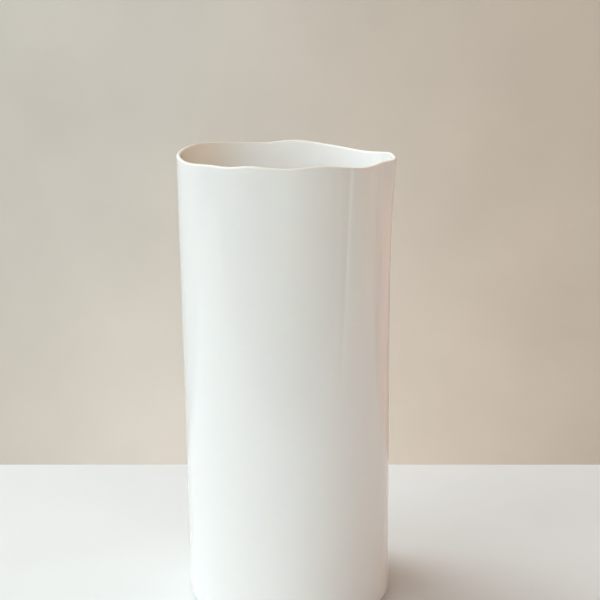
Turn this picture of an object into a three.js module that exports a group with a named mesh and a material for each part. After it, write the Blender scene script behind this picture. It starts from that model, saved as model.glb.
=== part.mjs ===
// A hand-built porcelain cylinder vase: a rolled slab wall with a wavy lip that is pinched
// into a small beak, joined onto a round base disc, with a smoothed coil in the inside corner
// and an unglazed foot ring under the disc. Millimetres, +Z up, origin on the table under the
// middle of the wall. The beak points along +X, turned a little towards the front (-Y).
import * as THREE from "three";
import { mergeVertices } from "three/addons/utils/BufferGeometryUtils.js";

// Body
const bodyDiameter = 115; // outside of the straight wall
const lipHeight = 251.5; // middle height of the wavy lip, above the table
const wallThicknessAtBase = 3;
const lipThickness = 1.9;

// Base
const footHeight = 1; // lifts the glazed base clear of the table
const footWidth = 5;
const footInset = 4; // from the start of the rounded bottom edge in to the foot
const footEdge = 0.4; // sponged edges that meet the table
const baseThickness = 4;
const bottomEdgeRadius = 3;

// Coil of clay that is pressed into the inside corner and smoothed hollow with a fingertip
const coilReach = 6;
const coilEdge = 0.5; // what is left at the coil's feathered edges
const joiningGap = 0.3; // between the coil and the round wall

// Beak: the one place where the lip is pinched outwards, steep in front and soft behind
const beakAngle = -15; // degrees from +X, seen from above
const beakReach = 3.35; // how far the tip stands out of the round wall
const steepSide = { spread: 7.5, power: 1.2 }; // degrees of turn towards the front
const softSide = { spread: 33, power: 2.5 }; // degrees of turn towards the back
const beakDepth = 36; // how far down the pinch can be felt
const beakDepthPower = 1.3;

// Wavy lip: [degrees from +X, millimetres above the middle height] at its crests, dips and shoulders
const lipWave = [
  [-17, -1.0],
  [8, -1.6],
  [40, -2.3],
  [62, -0.9],
  [83, 1.5],
  [100, 0.5],
  [125, 2.0],
  [149, 3.6],
  [170, 2.6],
  [190, 0.9],
  [209, -0.5],
  [229, 0.5],
  [240, 0.2],
  [253, 1.2],
  [270, 0.1],
  [290, 1.0],
  [304, -0.6],
  [318, -1.5],
  [332, -0.7],
];
const waveDepth = 45; // the wall further than this below the lip isn't stretched

// Fineness of the facets
const stepsAround = 96;
const stepsInLip = 5;
const stepsInEdge = 4;
const plainRings = 3; // on the straight part of the wall
const pinchedRings = 7; // on the part that carries the beak
const pinchedStretch = 90; // height of that part
const ringCrowding = 1.5; // towards the lip; 1 would space the rings evenly
const mergeDistance = 1e-3;

// Places that follow from the sizes above
const bodyRadius = bodyDiameter / 2;
const lipRadius = lipThickness / 2;
const baseTop = footHeight + baseThickness;
const edgeRadius = Math.min(bottomEdgeRadius, baseThickness);
const footOuterRadius = bodyRadius - edgeRadius - footInset;
const pinchStart = lipHeight - pinchedStretch;

// Colours and finish
const glaze = new THREE.MeshStandardMaterial({ color: "#f1efea", roughness: 0.12, metalness: 0 });
const bareClay = new THREE.MeshStandardMaterial({ color: "#e6ddcf", roughness: 0.85, metalness: 0 });

const point = (radius, height) => new THREE.Vector2(radius, height);

// Points of a circular arc from one angle to another, in degrees, both ends included.
function arc(centreRadius, centreHeight, radius, from, to, steps) {
  const points = [];
  for (let i = 0; i <= steps; i++) {
    const angle = THREE.MathUtils.degToRad(THREE.MathUtils.lerp(from, to, i / steps));
    points.push(point(centreRadius + radius * Math.cos(angle), centreHeight + radius * Math.sin(angle)));
  }
  return points;
}

// Turns an outline round the Z axis, with one column of points on the beak's line.
function turned(outline) {
  const start = Math.PI / 2 + THREE.MathUtils.degToRad(beakAngle);
  const lathe = new THREE.LatheGeometry(outline, stepsAround, start, Math.PI * 2);
  lathe.rotateX(Math.PI / 2);
  lathe.deleteAttribute("normal");
  lathe.deleteAttribute("uv");
  return mergeVertices(lathe, mergeDistance);
}

// Height of the lip above its middle height: a smooth curve through the crests and dips.
const [firstAngle, firstHeight] = lipWave[0];
const lipCurve = new THREE.CubicInterpolant(
  [...lipWave.map(([angle]) => angle), firstAngle + 360],
  [...lipWave.map(([, height]) => height), firstHeight],
  1,
  [0],
);
lipCurve.settings = { endingStart: THREE.WrapAroundEnding, endingEnd: THREE.WrapAroundEnding };

function waveAt(degrees) {
  const turn = THREE.MathUtils.euclideanModulo(degrees - firstAngle, 360);
  return lipCurve.evaluate(firstAngle + turn)[0];
}

// How far the beak pushes the wall out at an angle and a height.
function beakAt(degrees, height) {
  const away = THREE.MathUtils.euclideanModulo(degrees - beakAngle + 180, 360) - 180;
  const side = away < 0 ? steepSide : softSide;
  const across = Math.exp(-Math.pow(Math.abs(away) / side.spread, side.power));
  const down = Math.max(0, lipHeight - height);
  return beakReach * across * Math.exp(-Math.pow(down / beakDepth, beakDepthPower));
}

// Wall thickness: thickest where it stands on the base, thinnest at the lip.
function thicknessAt(height) {
  const up = THREE.MathUtils.clamp((height - baseTop) / (lipHeight - baseTop), 0, 1);
  return THREE.MathUtils.lerp(wallThicknessAtBase, lipThickness, up);
}

// Heights of the wall's rings: evenly up to the pinch, then closer and closer to the lip.
function ringHeights() {
  const heights = [];
  for (let i = 0; i < plainRings; i++) {
    heights.push(THREE.MathUtils.lerp(baseTop, pinchStart, i / plainRings));
  }
  for (let i = 0; i <= pinchedRings; i++) {
    const up = 1 - Math.pow(1 - i / pinchedRings, ringCrowding);
    heights.push(THREE.MathUtils.lerp(pinchStart, lipHeight - lipRadius, up));
  }
  return heights;
}

function wallGeometry() {
  const heights = ringHeights();
  const outside = heights.map((height) => point(bodyRadius, height));
  const inside = heights.map((height) => point(bodyRadius - thicknessAt(height), height)).reverse();
  const lip = arc(bodyRadius - lipRadius, lipHeight - lipRadius, lipRadius, 0, 180, stepsInLip);
  const geometry = turned([...outside, ...lip.slice(1, -1), ...inside, outside[0].clone()]);

  const places = geometry.getAttribute("position");
  for (let i = 0; i < places.count; i++) {
    const [x, y, z] = [places.getX(i), places.getY(i), places.getZ(i)];
    const angle = Math.atan2(y, x);
    const degrees = THREE.MathUtils.radToDeg(angle);
    const radius = Math.hypot(x, y) + beakAt(degrees, z);
    const stretch = THREE.MathUtils.smoothstep(z, lipHeight - waveDepth, lipHeight - lipThickness);
    places.setXYZ(i, radius * Math.cos(angle), radius * Math.sin(angle), z + waveAt(degrees) * stretch);
  }
  return geometry;
}

function baseGeometry() {
  const edge = arc(bodyRadius - edgeRadius, footHeight + edgeRadius, edgeRadius, -90, 0, stepsInEdge);
  return turned([point(0, footHeight), ...edge, point(bodyRadius, baseTop), point(0, baseTop)]);
}

function coilGeometry() {
  const outer = bodyRadius - wallThicknessAtBase - joiningGap;
  const inner = outer - coilReach;
  const hollow = arc(inner, baseTop + coilReach, coilReach - coilEdge, 0, -90, stepsInEdge);
  return turned([
    point(inner, baseTop),
    point(outer, baseTop),
    point(outer, baseTop + coilReach),
    ...hollow,
    point(inner, baseTop),
  ]);
}

function footGeometry() {
  const inner = footOuterRadius - footWidth;
  return turned([
    point(inner + footEdge, 0),
    point(footOuterRadius - footEdge, 0),
    point(footOuterRadius, footEdge),
    point(footOuterRadius, footHeight),
    point(inner, footHeight),
    point(inner, footEdge),
    point(inner + footEdge, 0),
  ]);
}

function piece(name, geometry, material) {
  const mesh = new THREE.Mesh(geometry, material);
  mesh.name = name;
  return mesh;
}

const vase = new THREE.Group();
vase.add(
  piece("slab_wall", wallGeometry(), glaze),
  piece("base_disc", baseGeometry(), glaze),
  piece("corner_coil", coilGeometry(), glaze),
  piece("foot_ring", footGeometry(), bareClay),
);

export default vase;
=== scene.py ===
# A hand-built porcelain cylinder vase with a clear glossy glaze, a thin wavy lip pinched into
# a small beak, and an unglazed foot ring. Sizes in the dictionaries are millimetres.
import bmesh
import bpy
import math
from mathutils import Matrix, Vector, noise


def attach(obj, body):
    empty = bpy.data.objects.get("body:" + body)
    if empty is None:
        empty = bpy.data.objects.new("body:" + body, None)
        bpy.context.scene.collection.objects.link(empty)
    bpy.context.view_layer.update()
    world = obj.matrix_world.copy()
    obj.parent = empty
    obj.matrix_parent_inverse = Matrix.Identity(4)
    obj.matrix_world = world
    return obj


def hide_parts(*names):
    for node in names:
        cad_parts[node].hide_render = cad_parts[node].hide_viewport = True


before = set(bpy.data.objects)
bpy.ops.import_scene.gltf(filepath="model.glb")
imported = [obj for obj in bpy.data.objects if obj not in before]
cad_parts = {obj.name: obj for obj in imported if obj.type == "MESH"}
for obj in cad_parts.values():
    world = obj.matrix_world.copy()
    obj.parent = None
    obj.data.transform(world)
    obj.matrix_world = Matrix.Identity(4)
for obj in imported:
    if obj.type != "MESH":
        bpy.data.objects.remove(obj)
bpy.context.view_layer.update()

mm = 0.001
upAxis = Vector((0, 0, 1))
weldWithin = 0.001 * mm  # points nearer than this are one point
levelWithin = 1e-6  # metres; heights nearer than this are the same
sharpAngle = 40  # degrees; edges sharper than this are shaded as edges


# Camera: a 75 mm lens a little above the lip, tipped down and rolled as the photograph is
camera = {
    "place": (0, -671, 336.7),
    "lens": 75,
    "sensor": 36,
    "nearest": 10,
    "pitch": 13.905,  # degrees down
    "yaw": 0.668,
    "roll": -0.661,
}


def makeCamera():
    pitch = math.radians(camera["pitch"])
    yaw = math.radians(camera["yaw"])
    roll = math.radians(camera["roll"])
    forward = Vector((
        math.sin(yaw) * math.cos(pitch),
        math.cos(yaw) * math.cos(pitch),
        -math.sin(pitch),
    ))
    level = Vector((math.cos(yaw), -math.sin(yaw), 0))
    above = level.cross(forward)
    right = level * math.cos(roll) + above * math.sin(roll)
    up = above * math.cos(roll) - level * math.sin(roll)
    data = bpy.data.cameras.new("camera")
    data.lens = camera["lens"]
    data.sensor_width = camera["sensor"]
    data.clip_start = camera["nearest"] * mm
    made = bpy.data.objects.new("camera", data)
    bpy.context.scene.collection.objects.link(made)
    turn = Matrix((right, up, -forward)).transposed().to_4x4()
    made.matrix_world = Matrix.Translation(Vector(camera["place"]) * mm) @ turn
    bpy.context.scene.camera = made


makeCamera()
print("camera placed")


# Colours are written as sRGB hex and turned to linear here
def linear(hexColour):
    channels = [int(hexColour[i:i + 2], 16) / 255 for i in (1, 3, 5)]
    return [c / 12.92 if c <= 0.04045 else ((c + 0.055) / 1.055) ** 2.4 for c in channels] + [1]


# Adds one node; inputs that are sockets are linked, all others are set
def addNode(tree, kind, inputs=None, **settings):
    node = tree.nodes.new(kind)
    for name, value in settings.items():
        setattr(node, name, value)
    for name, value in (inputs or {}).items():
        if isinstance(value, bpy.types.NodeSocket):
            tree.links.new(value, node.inputs[name])
        else:
            node.inputs[name].default_value = value
    return node


def newMaterial(name):
    material = bpy.data.materials.new(name)
    material.use_nodes = True
    tree = material.node_tree
    tree.nodes.clear()
    return material, tree


# The scale of a noise whose features are about this many millimetres across
def scaleFor(size):
    return 1 / (size * mm)


noiseSpan = (0.3, 0.7)  # most of a noise's values lie between these


# Clear gloss glaze on white porcelain, dipped outside and poured inside: soft white with a wet
# shine and a skin that isn't quite flat; creamy where it lies thin on the lip; painted warm shade
# inside on the left
glaze = {
    "outside": "#f1f0ed",
    "outsideCloud": "#eeedea",
    # the inside is whiter than the outside: a brighter copy of the glaze standing in for light
    # bouncing about inside and shining through the thin wall
    "inside": "#fdfcfa",
    "insideCloud": "#fcfaf5",
    "insidePaintedShade": "#eee2cf",  # painted warm shade on the left of the inside, where the inside wall is in shadow
    "insideShadeEnds": (-58, -14),  # the painted shade fades out from here to here across
    "insideShadeWander": 36,  # how unevenly the painted shade fades
    "thin": "#efe9de",
    "cloud": {"Scale": scaleFor(38), "Detail": 3, "Roughness": 0.5},
    "peel": {"Scale": scaleFor(2.4), "Detail": 2, "Roughness": 0.5},  # the glaze's orange peel
    "peelHeight": 0.004,
    "swell": {"Scale": scaleFor(17), "Detail": 1, "Roughness": 0.5},  # slow swells in the glaze
    "swellHeight": 0.05,
    "haze": {"Scale": scaleFor(9), "Detail": 4, "Roughness": 0.6},
    "shine": (0.07, 0.12),
    "lipDullness": 0.45,  # the thin glaze on the lip shines less
    "ior": 1.5,
    "softness": 0.5,  # porcelain lets some light in and out again
    "softTint": (1, 0.85, 0.7),
    "softDepth": 1.6,
}


def makeGlaze():
    material, tree = newMaterial("clear_gloss_glazed_porcelain")
    places = addNode(tree, "ShaderNodeTexCoord").outputs["Object"]
    cloud = addNode(tree, "ShaderNodeTexNoise", {"Vector": places, **glaze["cloud"]}).outputs["Fac"]
    outside = addNode(tree, "ShaderNodeMix", {
        "Factor": cloud,
        "A": linear(glaze["outside"]),
        "B": linear(glaze["outsideCloud"]),
    }, data_type="RGBA")
    poured = addNode(tree, "ShaderNodeMix", {
        "Factor": cloud,
        "A": linear(glaze["inside"]),
        "B": linear(glaze["insideCloud"]),
    }, data_type="RGBA")
    # Painted shade: the inside turns warm and darker on its left, where the inside wall is in shadow
    across = addNode(tree, "ShaderNodeSeparateXYZ", {0: places}).outputs["X"]
    centred = addNode(tree, "ShaderNodeMath", {0: cloud, 1: 0.5}, operation="SUBTRACT")
    wandering = addNode(tree, "ShaderNodeMath", {
        0: centred.outputs[0],
        1: glaze["insideShadeWander"] * mm,
        2: across,
    }, operation="MULTIPLY_ADD")
    clearOfInsideShade = addNode(tree, "ShaderNodeMapRange", {
        "Value": wandering.outputs[0],
        "From Min": glaze["insideShadeEnds"][0] * mm,
        "From Max": glaze["insideShadeEnds"][1] * mm,
    }, interpolation_type="SMOOTHSTEP")
    inside = addNode(tree, "ShaderNodeMix", {
        "Factor": clearOfInsideShade.outputs[0],
        "A": linear(glaze["insidePaintedShade"]),
        "B": poured.outputs["Result"],
    }, data_type="RGBA")
    insideShare = addNode(tree, "ShaderNodeAttribute", attribute_name="inside").outputs["Fac"]
    thinShare = addNode(tree, "ShaderNodeAttribute", attribute_name="thinGlaze").outputs["Fac"]
    coat = addNode(tree, "ShaderNodeMix", {
        "Factor": insideShare,
        "A": outside.outputs["Result"],
        "B": inside.outputs["Result"],
    }, data_type="RGBA")
    colour = addNode(tree, "ShaderNodeMix", {
        "Factor": thinShare,
        "A": coat.outputs["Result"],
        "B": linear(glaze["thin"]),
    }, data_type="RGBA")

    haze = addNode(tree, "ShaderNodeTexNoise", {"Vector": places, **glaze["haze"]})
    shine = addNode(tree, "ShaderNodeMapRange", {
        "Value": haze.outputs["Fac"],
        "From Min": noiseSpan[0],
        "From Max": noiseSpan[1],
        "To Min": glaze["shine"][0],
        "To Max": glaze["shine"][1],
    })
    roughness = addNode(tree, "ShaderNodeMath", {
        0: thinShare,
        1: glaze["lipDullness"],
        2: shine.outputs[0],
    }, operation="MULTIPLY_ADD")
    swell = addNode(tree, "ShaderNodeTexNoise", {"Vector": places, **glaze["swell"]})
    swellBump = addNode(tree, "ShaderNodeBump", {
        "Height": swell.outputs["Fac"],
        "Distance": glaze["swellHeight"] * mm,
    })
    peel = addNode(tree, "ShaderNodeTexNoise", {"Vector": places, **glaze["peel"]})
    peelBump = addNode(tree, "ShaderNodeBump", {
        "Height": peel.outputs["Fac"],
        "Distance": glaze["peelHeight"] * mm,
        "Normal": swellBump.outputs["Normal"],
    })
    shader = addNode(tree, "ShaderNodeBsdfPrincipled", {
        "Base Color": colour.outputs["Result"],
        "Roughness": roughness.outputs[0],
        "IOR": glaze["ior"],
        "Subsurface Weight": glaze["softness"],
        "Subsurface Radius": glaze["softTint"],
        "Subsurface Scale": glaze["softDepth"] * mm,
        "Normal": peelBump.outputs["Normal"],
    })
    addNode(tree, "ShaderNodeOutputMaterial", {"Surface": shader.outputs["BSDF"]})
    return material


# Bare fired porcelain, wiped and sponged: warm, chalky and matt, with a fine dry grain
bareClay = {
    "clay": "#e7dfd2",
    "worn": "#d9cfbf",
    "patches": {"Scale": scaleFor(12), "Detail": 4, "Roughness": 0.6},
    "grain": {"Scale": scaleFor(0.5), "Detail": 3, "Roughness": 0.7},  # coarser than real, to show
    "grainHeight": 0.02,
    "dryness": (0.72, 0.9),
    "ior": 1.5,
}


def makeBareClay():
    material, tree = newMaterial("bare_fired_porcelain")
    places = addNode(tree, "ShaderNodeTexCoord").outputs["Object"]
    patches = addNode(tree, "ShaderNodeTexNoise", {"Vector": places, **bareClay["patches"]})
    colour = addNode(tree, "ShaderNodeMix", {
        "Factor": patches.outputs["Fac"],
        "A": linear(bareClay["clay"]),
        "B": linear(bareClay["worn"]),
    }, data_type="RGBA")
    grain = addNode(tree, "ShaderNodeTexNoise", {"Vector": places, **bareClay["grain"]})
    dryness = addNode(tree, "ShaderNodeMapRange", {
        "Value": grain.outputs["Fac"],
        "To Min": bareClay["dryness"][0],
        "To Max": bareClay["dryness"][1],
    })
    bump = addNode(tree, "ShaderNodeBump", {
        "Height": grain.outputs["Fac"],
        "Distance": bareClay["grainHeight"] * mm,
    })
    shader = addNode(tree, "ShaderNodeBsdfPrincipled", {
        "Base Color": colour.outputs["Result"],
        "Roughness": dryness.outputs[0],
        "IOR": bareClay["ior"],
        "Normal": bump.outputs["Normal"],
    })
    addNode(tree, "ShaderNodeOutputMaterial", {"Surface": shader.outputs["BSDF"]})
    return material


glazeMaterial = makeGlaze()
bareClayMaterial = makeBareClay()
print("materials made")


# Sizes that the pieces share
body = {
    "radius": 57.5,
    "lipHeight": 251.5,  # middle height of the wavy lip
    "wallThickness": 3,  # at the base
    "lipThickness": 1.9,
    "baseTop": 5,
    "footHeight": 1,
    "footOuter": 50.5,
    "footInner": 45.5,
    "inset": 0.05,  # keeps every crest inside the CAD box
}

# Beak: steep in front, soft behind, and fading down the wall
beak = {
    "angle": -15,
    "reach": 3.35,
    "front": (7.5, 1.2),  # spread in degrees, power
    "back": (33, 2.5),
    "depth": 36,
    "depthPower": 1.3,
}

# Wavy lip: degrees from +X seen from above, millimetres over the middle height
lipWave = [
    (-16, -1.6), (-6, -1.5), (1, -1.3), (8, -0.8), (20, -1.8), (29, -2.5), (41, -2.7), (62, -0.9),
    (83, 1.2), (100, 0.2), (125, 1.4), (149, 2.9), (170, 2.0), (190, 0.8), (209, -0.2), (229, 0.5),
    (240, 0.2), (253, 1.1), (270, -0.1), (290, 0.4), (304, -1.1), (318, -2.4), (334, -1.6),
]

# What the maker's hands leave: slow inward hollows in the wall and a lip of uneven thickness
hands = {
    "hollow": 0.25,
    "hollowSize": 48,
    "ripple": 0.05,
    "rippleSize": 14,
    "calm": 22,  # height over which the hollows start above the base
    "lipUneven": 0.14,
    "lipLumpSize": 26,
    "lipLift": 0.12,  # small ups and downs on top of the long waves
    "lipTilt": 0.2,  # how far one edge of the lip lies below the other
    "lipReach": 12,  # the lip's unevenness starts this far below it
    "thicknessLayer": 3,  # each kind of unevenness reads a layer of the noise of its own
    "liftLayer": 7,
    "tiltLayer": 11,
    # Faint folds by the pinch: degrees, height (a groove is below zero), length, width in degrees
    # before and after the fold, and degrees of turn for each millimetre down
    "creases": [
        (-62, -0.12, 80, 2.0, 0.9, 0.010),
        (-53.5, -0.5, 140, 2.4, 0.8, 0.060),
        (-42, -0.2, 85, 1.4, 0.9, 0.024),
        (-29, -0.2, 95, 2.2, 1.0, 0.010),
        (8, -0.16, 70, 1.0, 1.0, 0.024),
        (22, -0.12, 95, 1.0, 1.0, 0.024),
    ],
    "creaseFull": 0.3,  # share of its length over which a fold keeps its full height
}


def smoothStep(value, low, high):
    t = min(1, max(0, (value - low) / (high - low)))
    return t * t * (3 - 2 * t)


def between(a, b, t):
    return a + (b - a) * t


# A smooth curve through the crests and dips of the lip, closed on itself
def waveAt(degrees):
    turn = (degrees - lipWave[0][0]) % 360 + lipWave[0][0]
    count = len(lipWave)
    here = max(i for i in range(count) if lipWave[i][0] <= turn)
    around = []
    for i in range(here - 1, here + 3):
        angle, height = lipWave[i % count]
        around.append((angle + 360 * (i // count), height))
    (a0, h0), (a1, h1), (a2, h2), (a3, h3) = around
    span = a2 - a1
    slopeIn = 0.5 * span * ((h1 - h0) / (a1 - a0) + (h2 - h1) / span)
    slopeOut = 0.5 * span * ((h2 - h1) / span + (h3 - h2) / (a3 - a2))
    t = (turn - a1) / span
    return (
        (2 * t**3 - 3 * t**2 + 1) * h1
        + (t**3 - 2 * t**2 + t) * slopeIn
        + (3 * t**2 - 2 * t**3) * h2
        + (t**3 - t**2) * slopeOut
    )


def beakAt(degrees, height):
    away = (degrees - beak["angle"] + 180) % 360 - 180
    spread, power = beak["front"] if away < 0 else beak["back"]
    across = math.exp(-((abs(away) / spread) ** power))
    down = max(0, body["lipHeight"] - height)
    return beak["reach"] * across * math.exp(-((down / beak["depth"]) ** beak["depthPower"]))


# How far the hands have pressed the wall in at a place
def hollowAt(angle, height):
    place = Vector((math.cos(angle), math.sin(angle), height / body["radius"])) * body["radius"]
    slow = 0.5 + 0.5 * noise.noise(place / hands["hollowSize"])
    quick = 0.5 + 0.5 * noise.noise(place / hands["rippleSize"])
    start = smoothStep(height, body["baseTop"], body["baseTop"] + hands["calm"])
    return (hands["hollow"] * slow + hands["ripple"] * quick) * start


# Faint upright folds that the pinch leaves in the wall near the beak
def creaseAt(degrees, height):
    down = max(0, body["lipHeight"] - height)
    total = 0
    for place, depth, reach, before, after, slant in hands["creases"]:
        away = (degrees - place + slant * down + 180) % 360 - 180
        across = math.exp(-((away / (before if away < 0 else after)) ** 2))
        total += depth * across * (1 - smoothStep(down, hands["creaseFull"] * reach, reach))
    return total


def lipLumpAt(angle, layer):
    place = Vector((math.cos(angle), math.sin(angle), 0)) * body["radius"] / hands["lipLumpSize"]
    return noise.noise(place + upAxis * layer)


def linkPiece(name, mesh, material, node):
    bmesh.ops.remove_doubles(mesh, verts=mesh.verts, dist=weldWithin)
    bmesh.ops.recalc_face_normals(mesh, faces=mesh.faces)
    data = bpy.data.meshes.new(name)
    mesh.to_mesh(data)
    mesh.free()
    data.shade_smooth()
    data.set_sharp_from_angle(angle=math.radians(sharpAngle))
    data.materials.append(material)
    piece = bpy.data.objects.new(name, data)
    bpy.context.scene.collection.objects.link(piece)
    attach(piece, "root")
    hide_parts(node)


# A section in the XZ plane, through the given points, in millimetres
def sectionThrough(mesh, places):
    points = [mesh.verts.new((radius * mm, 0, height * mm)) for radius, height in places]
    for pair in zip(points, points[1:]):
        mesh.edges.new(pair)
    return points


# Divides the section's edges that reach from one height to the other
def divideBetween(mesh, low, high, parts):
    ends = [low * mm, high * mm]
    chosen = []
    for edge in mesh.edges:
        heights = sorted(vert.co.z for vert in edge.verts)
        if all(abs(a - b) < levelWithin for a, b in zip(heights, ends)):
            chosen.append(edge)
    bmesh.ops.subdivide_edges(mesh, edges=chosen, cuts=parts - 1)


# Turns the section once round the middle
def turnRound(mesh, steps):
    bmesh.ops.remove_doubles(mesh, verts=mesh.verts, dist=weldWithin)
    bmesh.ops.spin(
        mesh, geom=mesh.verts[:] + mesh.edges[:], cent=(0, 0, 0), axis=upAxis, angle=math.tau,
        steps=steps, use_merge=True,
    )
    bmesh.ops.remove_doubles(mesh, verts=mesh.verts, dist=weldWithin)


# Slab wall: a thin rolled slab closed to a cylinder, rounded at the lip
slabWall = {
    "stepsAround": 512,
    "plainRings": 30,
    "pinchStart": 160,  # height where the wall starts to change
    "pinchedRings": 36,
    "lipCorner": 0.8,  # the cut lip was rounded with a sponge, with a narrow flat left on top
    "lipArch": 1.35,  # how much taller than wide its rounding is
    "stepsInCorner": 6,
    "waveDepth": 45,  # the lip's waves fade out this far below it
    "thinFrom": 1.5,  # the glaze thins over this much below the lip
    "insideBlend": 0.4,  # the inner glaze starts within this much of the wall's middle
}


def makeSlabWall():
    mesh = bmesh.new()
    radius = body["radius"] - body["inset"]
    inner = radius - body["lipThickness"]
    corner = slabWall["lipCorner"]
    lipBase = body["lipHeight"] - corner * slabWall["lipArch"] - body["inset"]
    pinchStart = slabWall["pinchStart"]
    up = (pinchStart - body["baseTop"]) / (body["lipHeight"] - body["baseTop"])
    thickness = between(body["wallThickness"], body["lipThickness"], up)
    outside = sectionThrough(mesh, [
        (radius, body["baseTop"]), (radius, pinchStart), (radius, lipBase),
    ])
    inside = sectionThrough(mesh, [
        (inner, lipBase),
        (radius - thickness, pinchStart),
        (radius - body["wallThickness"], body["baseTop"]),
    ])
    mesh.edges.new((inside[-1], outside[0]))
    corners = []
    roundings = (
        (outside[-1], radius - corner, (0, -1, 0)),
        (inside[0], inner + corner, (0, 1, 0)),
    )
    for point, centre, axis in roundings:
        turned = bmesh.ops.spin(
            mesh, geom=[point], cent=(centre * mm, 0, lipBase * mm), axis=axis, angle=math.pi / 2,
            steps=slabWall["stepsInCorner"],
        )
        corners += [vert for vert in turned["geom_last"] if isinstance(vert, bmesh.types.BMVert)]
    mesh.edges.new(corners)
    divideBetween(mesh, body["baseTop"], pinchStart, slabWall["plainRings"])
    divideBetween(mesh, pinchStart, lipBase, slabWall["pinchedRings"])
    turnRound(mesh, slabWall["stepsAround"])

    thin = mesh.verts.layers.float.new("thinGlaze")
    inward = mesh.verts.layers.float.new("inside")
    middle = body["radius"] - body["lipThickness"] / 2
    belowLip = body["lipHeight"] - body["lipThickness"]
    blend = slabWall["insideBlend"]
    for vert in mesh.verts:
        angle = math.atan2(vert.co.y, vert.co.x)
        degrees = math.degrees(angle)
        height = vert.co.z / mm
        height += max(0, height - lipBase) * (slabWall["lipArch"] - 1)
        radius = vert.co.xy.length / mm
        near = smoothStep(height, body["lipHeight"] - hands["lipReach"], belowLip)
        across = (radius - middle) / (body["lipThickness"] / 2)
        tilt = lipLumpAt(angle, hands["tiltLayer"])
        lift = hands["lipLift"] * (lipLumpAt(angle, hands["liftLayer"]) - 0.5)
        drop = hands["lipTilt"] * (abs(tilt) + tilt * across) / 2
        if radius < middle:
            lump = lipLumpAt(angle, hands["thicknessLayer"])
            radius += hands["lipUneven"] * body["lipThickness"] * lump * near
        else:
            radius += creaseAt(degrees, height)
        radius += beakAt(degrees, height) - hollowAt(angle, height)
        stretch = smoothStep(height, body["lipHeight"] - slabWall["waveDepth"], belowLip)
        vert[inward] = smoothStep(-radius, -middle - blend, -middle + blend)
        vert[thin] = smoothStep(height, body["lipHeight"] - slabWall["thinFrom"], body["lipHeight"])
        vert.co = (
            radius * mm * math.cos(angle),
            radius * mm * math.sin(angle),
            (height + waveAt(degrees) * stretch + (lift - drop) * near) * mm,
        )
    linkPiece("slab_wall_shell", mesh, glazeMaterial, "slab_wall")


makeSlabWall()
print("slab wall made")


# Base disc: round lower edge outside, an underside that dishes up a little towards its middle,
# and a bead of glaze on each side of the foot
baseDisc = {
    "edgeRadius": 1.5,
    "stepsInEdge": 8,
    "stepsAround": 192,
    "dish": 0.25,  # the underside rises this much towards its middle
    "dishCurve": [(0, 1), (0.35, 0.87), (0.7, 0.5)],  # shares of the way to the foot and of the rise
    "footOverlap": 0.1,  # how far a bead goes under the foot
    "beadWidth": 0.9,
    "beadLowest": 0.3,  # share of its width at which a bead hangs lowest
    "beadDrop": 0.22,
    "topRings": [0.66, 0.33],  # shares of the radius
    "insideWithin": 0.99,  # share of the radius within which the top has the inner glaze
    "insideDepth": 0.1,  # points within this much of the top count as on it
}


def makeBaseDisc():
    mesh = bmesh.new()
    radius = body["radius"] - body["inset"]
    bottom = body["footHeight"]
    top = body["baseTop"]
    edge = baseDisc["edgeRadius"]
    inner = body["footInner"]
    outer = body["footOuter"]
    overlap = baseDisc["footOverlap"]
    bead = baseDisc["beadWidth"]
    lowest = bead * baseDisc["beadLowest"]
    drop = baseDisc["beadDrop"]
    dished = [(inner * way, bottom + baseDisc["dish"] * rise) for way, rise in baseDisc["dishCurve"]]
    under = sectionThrough(mesh, dished + [
        (inner - bead, bottom),
        (inner - lowest, bottom - drop),
        (inner + overlap, bottom),
        (outer - overlap, bottom),
        (outer + lowest, bottom - drop),
        (outer + bead, bottom),
        (radius - edge, bottom),
    ])
    rings = [(radius * share, top) for share in baseDisc["topRings"]]
    sectionThrough(mesh, [(radius, bottom + edge), (radius, top)] + rings + [(0, top)])
    bmesh.ops.spin(
        mesh, geom=[under[-1]], cent=((radius - edge) * mm, 0, (bottom + edge) * mm),
        axis=(0, -1, 0), angle=math.pi / 2, steps=baseDisc["stepsInEdge"],
    )
    turnRound(mesh, baseDisc["stepsAround"])
    inward = mesh.verts.layers.float.new("inside")
    for vert in mesh.verts:
        deep = vert.co.xy.length < radius * baseDisc["insideWithin"] * mm
        vert[inward] = 1 if deep and vert.co.z > (top - baseDisc["insideDepth"]) * mm else 0
    linkPiece("base_disc_body", mesh, glazeMaterial, "base_disc")


makeBaseDisc()
print("base disc made")


# Corner coil: a coil of clay thumbed into the inside corner, hollow and feathered out
cornerCoil = {
    "reach": 6.3,
    "feather": 0.12,
    "tuck": 0.15,  # how far its edges go into the wall and the base
    "stepsInHollow": 14,
    "stepsAround": 192,
    "weldWithin": 0.05,
}


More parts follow.
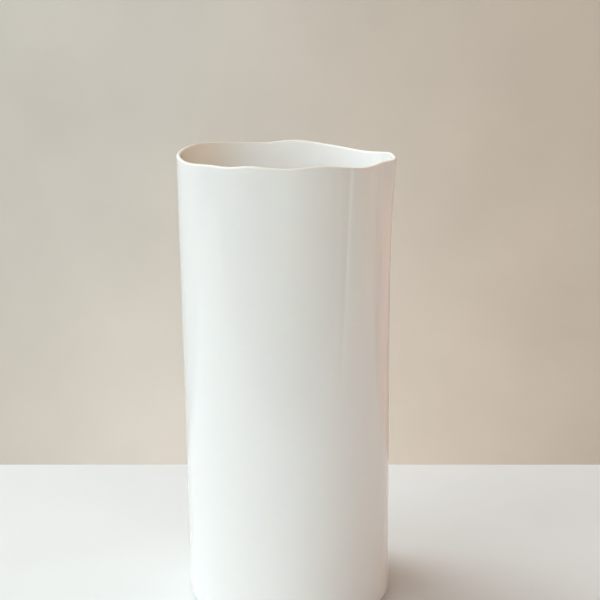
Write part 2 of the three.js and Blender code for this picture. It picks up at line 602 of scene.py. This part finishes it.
def makeCornerCoil():
    mesh = bmesh.new()
    outer = body["radius"] - body["wallThickness"] + cornerCoil["tuck"]
    bottom = body["baseTop"] - cornerCoil["tuck"]
    reach = cornerCoil["reach"] + cornerCoil["tuck"]
    hollow = reach - cornerCoil["feather"]
    points = sectionThrough(mesh, [
        (outer - reach, bottom + cornerCoil["feather"]),
        (outer - reach, bottom),
        (outer, bottom),
        (outer, bottom + reach),
        (outer - cornerCoil["feather"], bottom + reach),
    ])
    bmesh.ops.spin(
        mesh, geom=[points[-1]], cent=((outer - reach) * mm, 0, (bottom + reach) * mm),
        axis=(0, 1, 0), angle=math.pi / 2, steps=cornerCoil["stepsInHollow"],
    )
    bmesh.ops.remove_doubles(mesh, verts=mesh.verts, dist=cornerCoil["weldWithin"] * mm)
    turnRound(mesh, cornerCoil["stepsAround"])
    inward = mesh.verts.layers.float.new("inside")
    for vert in mesh.verts:
        vert[inward] = 1
    linkPiece("corner_coil_smoothed", mesh, glazeMaterial, "corner_coil")


makeCornerCoil()
print("corner coil made")


# Foot ring: bare porcelain, its edges rounded with a sponge
footRing = {
    "sponged": 0.42,
    "stepsInEdge": 4,
    "cornerAngle": 60,  # degrees; flatter edges aren't corners
    "stepsAround": 192,
}


def makeFootRing():
    mesh = bmesh.new()
    top = body["footHeight"]
    inner = body["footInner"]
    outer = body["footOuter"]
    sectionThrough(mesh, [(inner, 0), (outer, 0), (outer, top), (inner, top), (inner, 0)])
    turnRound(mesh, footRing["stepsAround"])
    bmesh.ops.recalc_face_normals(mesh, faces=mesh.faces)
    corners = []
    for edge in mesh.edges:
        onTable = all(vert.co.z < levelWithin for vert in edge.verts)
        if onTable and edge.calc_face_angle(0) > math.radians(footRing["cornerAngle"]):
            corners.append(edge)
    bmesh.ops.bevel(
        mesh, geom=corners, offset=footRing["sponged"] * mm, segments=footRing["stepsInEdge"],
        profile=0.5, affect="EDGES", material=-1,
    )
    linkPiece("foot_ring_bare", mesh, bareClayMaterial, "foot_ring")


makeFootRing()
print("foot ring made")


# Stage: a white table that ends behind and in front of the vase, a beige wall and a room floor
stage = {
    "tableBack": 188,  # where the table ends behind the vase
    "tableFront": -415,
    "tableTurn": -2.46,  # degrees, so that its back edge looks level
    "tableThickness": 30,
    "tableWidth": 3000,
    "wallDistance": 1100,
    "wallTop": 2600,
    "roomWidth": 8000,
    "roomThickness": 50,  # of the wall and the floor
    "floorDepth": 750,
    "shadeTurns": (-250, 400),  # a finish turns to its far colour from here to here across; on the wall that far colour is painted shade, darker and pinker to the right, away from the light
}

# Plain finishes of the stage: the mottling is a faint unevenness of their colour, and the wall's far
# colour is painted shade
stageFinishes = {
    "honed_white_stone": {
        "colour": "#eeedea", "farShadedColour": "#eeedea", "roughness": 0.45, "mottle": 0.012,
        "mottling": {"Scale": scaleFor(60), "Detail": 4, "Roughness": 0.55},
    },
    "limewashed_wall": {
        # the wall's far colour is painted shade, darker and pinker where less light falls
        "colour": "#c7c1b7", "farShadedColour": "#c7b9aa", "roughness": 0.9, "mottle": 0.035,
        "mottling": {"Scale": scaleFor(150), "Detail": 4, "Roughness": 0.55},
    },
    "room_floor": {
        "colour": "#a39b90", "farShadedColour": "#a39b90", "roughness": 0.7, "mottle": 0.03,
        "mottling": {"Scale": scaleFor(300), "Detail": 4, "Roughness": 0.55},
    },
}


def stageMaterial(name):
    finish = stageFinishes[name]
    material, tree = newMaterial(name)
    places = addNode(tree, "ShaderNodeTexCoord").outputs["Object"]
    across = addNode(tree, "ShaderNodeSeparateXYZ", {0: places}).outputs["X"]
    # Painted shade across the stage: the colour turns to the far colour, which only on the wall is
    # darker and pinker, away from the light
    shadeShare = addNode(tree, "ShaderNodeMapRange", {
        "Value": across,
        "From Min": stage["shadeTurns"][0] * mm,
        "From Max": stage["shadeTurns"][1] * mm,
    }, interpolation_type="SMOOTHSTEP")
    tint = addNode(tree, "ShaderNodeMix", {
        "Factor": shadeShare.outputs[0],
        "A": linear(finish["colour"]),
        "B": linear(finish["farShadedColour"]),
    }, data_type="RGBA")
    cloud = addNode(tree, "ShaderNodeTexNoise", {"Vector": places, **finish["mottling"]})
    strength = addNode(tree, "ShaderNodeMapRange", {
        "Value": cloud.outputs["Fac"],
        "From Min": noiseSpan[0],
        "From Max": noiseSpan[1],
        "To Min": 1 - finish["mottle"],
        "To Max": 1 + finish["mottle"],
    })
    shade = addNode(tree, "ShaderNodeVectorMath", {
        0: tint.outputs["Result"],
        "Scale": strength.outputs[0],
    }, operation="SCALE")
    shader = addNode(tree, "ShaderNodeBsdfPrincipled", {
        "Base Color": shade.outputs["Vector"],
        "Roughness": finish["roughness"],
    })
    addNode(tree, "ShaderNodeOutputMaterial", {"Surface": shader.outputs["BSDF"]})
    return material


def stageBox(name, low, high, turn, material):
    mesh = bmesh.new()
    bmesh.ops.create_cube(mesh, size=1)
    size = Vector(high) - Vector(low)
    centre = (Vector(high) + Vector(low)) / 2
    bmesh.ops.scale(mesh, vec=size * mm, verts=mesh.verts)
    bmesh.ops.translate(mesh, vec=centre * mm, verts=mesh.verts)
    pivot = Matrix.Rotation(math.radians(turn), 4, "Z")
    bmesh.ops.transform(mesh, matrix=pivot, verts=mesh.verts)
    data = bpy.data.meshes.new(name)
    mesh.to_mesh(data)
    mesh.free()
    data.materials.append(material)
    made = bpy.data.objects.new(name, data)
    bpy.context.scene.collection.objects.link(made)


def makeStage():
    stageBox(
        "stage_table",
        (-stage["tableWidth"] / 2, stage["tableFront"], -stage["tableThickness"]),
        (stage["tableWidth"] / 2, stage["tableBack"], 0),
        stage["tableTurn"], stageMaterial("honed_white_stone"),
    )
    side = stage["roomWidth"] / 2
    back = stage["wallDistance"]
    floor = -stage["floorDepth"]
    stageBox(
        "stage_wall", (-side, back, floor), (side, back + stage["roomThickness"], stage["wallTop"]),
        0, stageMaterial("limewashed_wall"),
    )
    stageBox(
        "stage_floor", (-side, -side, floor - stage["roomThickness"]), (side, back, floor),
        0, stageMaterial("room_floor"),
    )


makeStage()
print("stage made")


# Light: soft boxes round a hazy room. Each direction is degrees round from the camera's side,
# then degrees up; a higher tightness is a smaller box
softBoxes = {
    "frontLeft": {"towards": (-45, 20), "tightness": 60, "strength": (2.64, 2.80, 2.88)},
    "lowLeft": {"towards": (-60, 8), "tightness": 60, "strength": (1.48, 1.70, 1.80)},
    "left": {"towards": (-70, 30), "tightness": 60, "strength": (3.64, 3.95, 4.10)},
    "backLeft": {"towards": (-125, 40), "tightness": 60, "strength": (8.1, 9.7, 10.5)},
    "lowFront": {"towards": (0, 0), "tightness": 60, "strength": (0.50, 0.65, 0.64)},
    "front": {"towards": (0, 20), "tightness": 12, "strength": (0.79, 0.81, 0.79)},
    "frontRight": {"towards": (45, 20), "tightness": 12, "strength": (0.62, 0.56, 0.48)},
    "right": {"towards": (115, 22), "tightness": 12, "strength": (0.45, 0.03, 0.00)},
}

# Each lamp stands at its place and is turned to its aim
lamps = {
    "back_window": {
        "place": (-688, 397, 1272), "aim": (0, 0, 100), "size": (640, 1000),
        "power": 7.4, "colour": (0.91, 1.00, 1.06),
    },
    "far_window": {
        "place": (-682, 682, 1149), "aim": (0, 0, 100), "size": (640, 600),
        "power": 3.0, "colour": (0.91, 1.00, 1.05),
    },
    "side_window": {
        "place": (-1098, 194, 1004), "aim": (0, 0, 100), "size": (350, 500),
        "power": 0.2, "colour": (0.7, 1.0, 1.15),
    },
    "warm_card": {
        "place": (652, 608, 125), "aim": (0, 0, 100), "size": (400, 1200),
        "power": 0.72, "colour": (1.0, 0.50, 0.40),
    },
    "low_warm_card": {
        "place": (771, 136, 166), "aim": (0, 0, 100), "size": (300, 600),
        "power": 0.38, "colour": (1.0, 0.66, 0.42),
    },
    "wall_wash": {
        "place": (-60, 500, -480), "aim": (-60, 1100, -330), "size": (500, 500),
        "power": 2.7, "colour": (1, 0.99, 1.0),
    },
}


def directionOf(turn, lift):
    turn = math.radians(turn)
    lift = math.radians(lift)
    return Vector((math.sin(turn) * math.cos(lift), -math.cos(turn) * math.cos(lift), math.sin(lift)))


def makeRoomLight():
    world = bpy.data.worlds.new("room")
    world.use_nodes = True
    tree = world.node_tree
    tree.nodes.clear()
    coordinates = addNode(tree, "ShaderNodeTexCoord")
    light = (0, 0, 0)
    for box in softBoxes.values():
        facing = addNode(tree, "ShaderNodeVectorMath", {
            0: coordinates.outputs["Generated"],
            1: directionOf(*box["towards"]),
        }, operation="DOT_PRODUCT")
        # From -1 to 1 becomes from 0 to 1
        share = addNode(tree, "ShaderNodeMath", {
            0: facing.outputs["Value"],
            1: 0.5,
            2: 0.5,
        }, operation="MULTIPLY_ADD")
        spread = addNode(tree, "ShaderNodeMath", {
            0: share.outputs[0],
            1: box["tightness"],
        }, operation="POWER")
        glow = addNode(tree, "ShaderNodeVectorMath", {
            0: box["strength"],
            "Scale": spread.outputs[0],
        }, operation="SCALE")
        both = addNode(tree, "ShaderNodeVectorMath", {0: light, 1: glow.outputs["Vector"]})
        light = both.outputs["Vector"]
    room = addNode(tree, "ShaderNodeBackground", {"Color": light})
    wallColour = linear(stageFinishes["limewashed_wall"]["colour"])
    plain = addNode(tree, "ShaderNodeBackground", {"Color": wallColour})
    path = addNode(tree, "ShaderNodeLightPath")
    seen = addNode(tree, "ShaderNodeMixShader", {
        0: path.outputs["Is Camera Ray"],
        1: room.outputs[0],
        2: plain.outputs[0],
    })
    addNode(tree, "ShaderNodeOutputWorld", {"Surface": seen.outputs[0]})
    bpy.context.scene.world = world


def makeLamp(name, lamp):
    data = bpy.data.lights.new(name, "AREA")
    data.shape = "RECTANGLE"
    data.size = lamp["size"][0] * mm
    data.size_y = lamp["size"][1] * mm
    data.energy = lamp["power"]
    data.color = lamp["colour"]
    made = bpy.data.objects.new(name, data)
    bpy.context.scene.collection.objects.link(made)
    place = Vector(lamp["place"])
    made.location = place * mm
    made.rotation_mode = "QUATERNION"
    made.rotation_quaternion = (Vector(lamp["aim"]) - place).to_track_quat("-Z", "Y")
    made.visible_camera = False


makeRoomLight()
for name, lamp in lamps.items():
    makeLamp(name, lamp)
bpy.context.scene.view_settings.view_transform = "Standard"
print("lights made")
